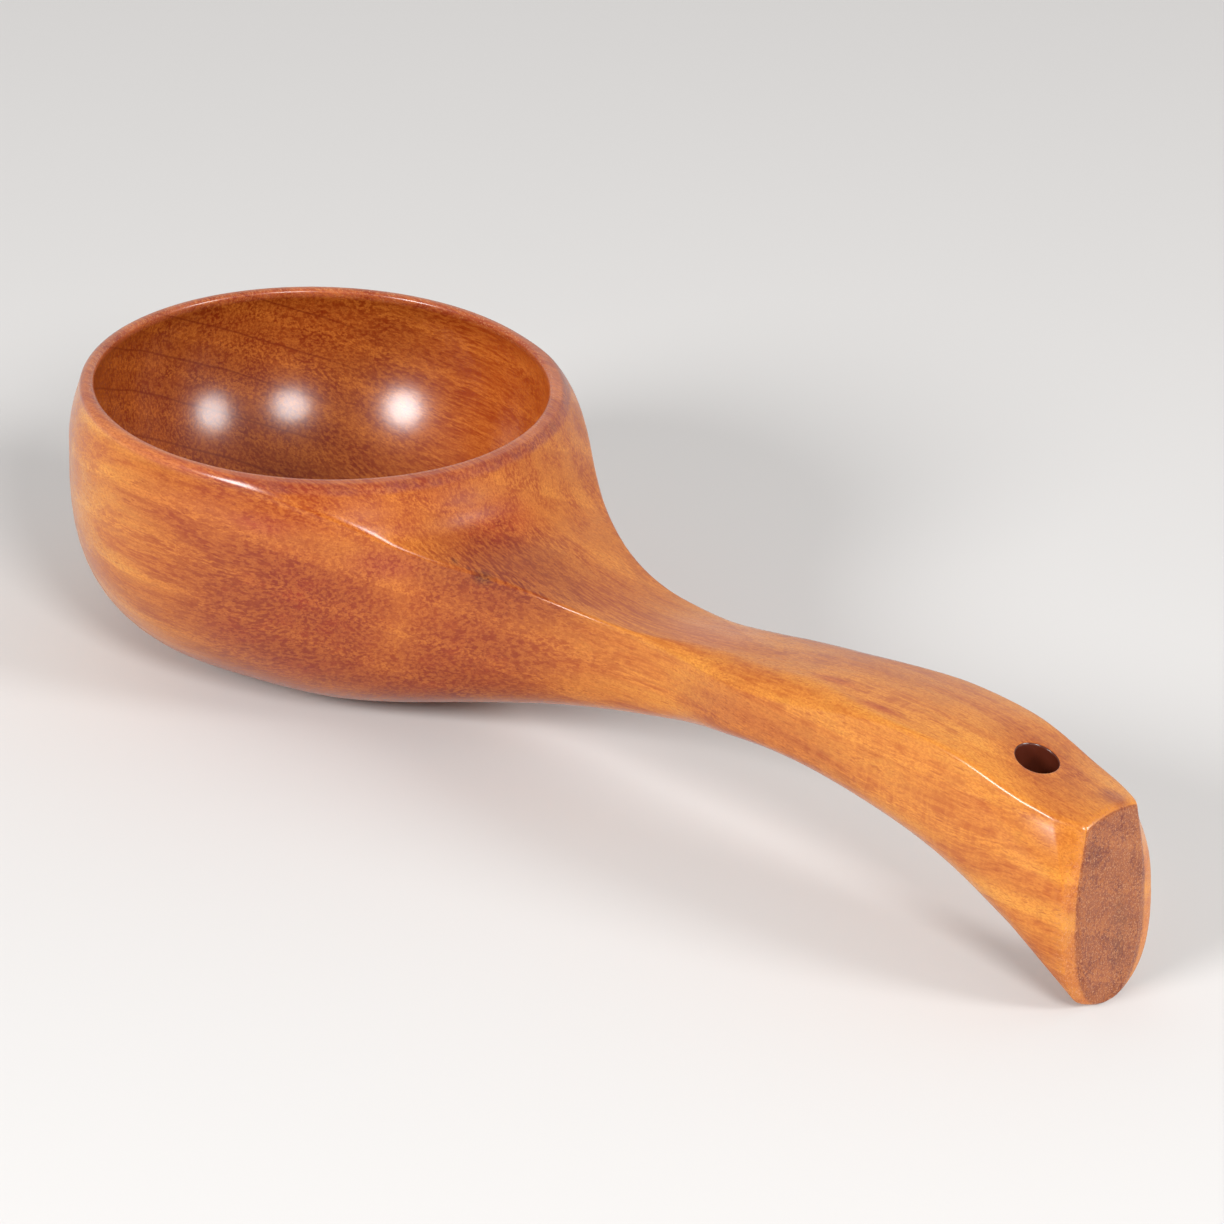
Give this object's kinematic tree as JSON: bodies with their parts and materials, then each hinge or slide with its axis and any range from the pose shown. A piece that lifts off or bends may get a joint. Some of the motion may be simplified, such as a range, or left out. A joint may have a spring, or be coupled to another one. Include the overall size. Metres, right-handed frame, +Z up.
{
  "type": "wooden ladle",
  "caption": "One-piece carved wooden ladle: a deep round bowl with a hollowed shoulder and a short arched handle that ends in a blunt tip with a hanging hole.",
  "frame": {"origin": "middle of the flat foot under the bowl, on the table plane and on the bowl's axis", "axes": "+X runs from the bowl to the handle tip, +Z is up out of the bowl, Y is across; the ladle is the same on both sides of the XZ plane"},
  "size_m": [0.1752, 0.0688, 0.037],
  "materials": {
    "wood": "clear gloss lacquer over orange-brown stain"
  },
  "bodies": {
    "root": {"ladle": "wood"}
  },
  "joints": []
}
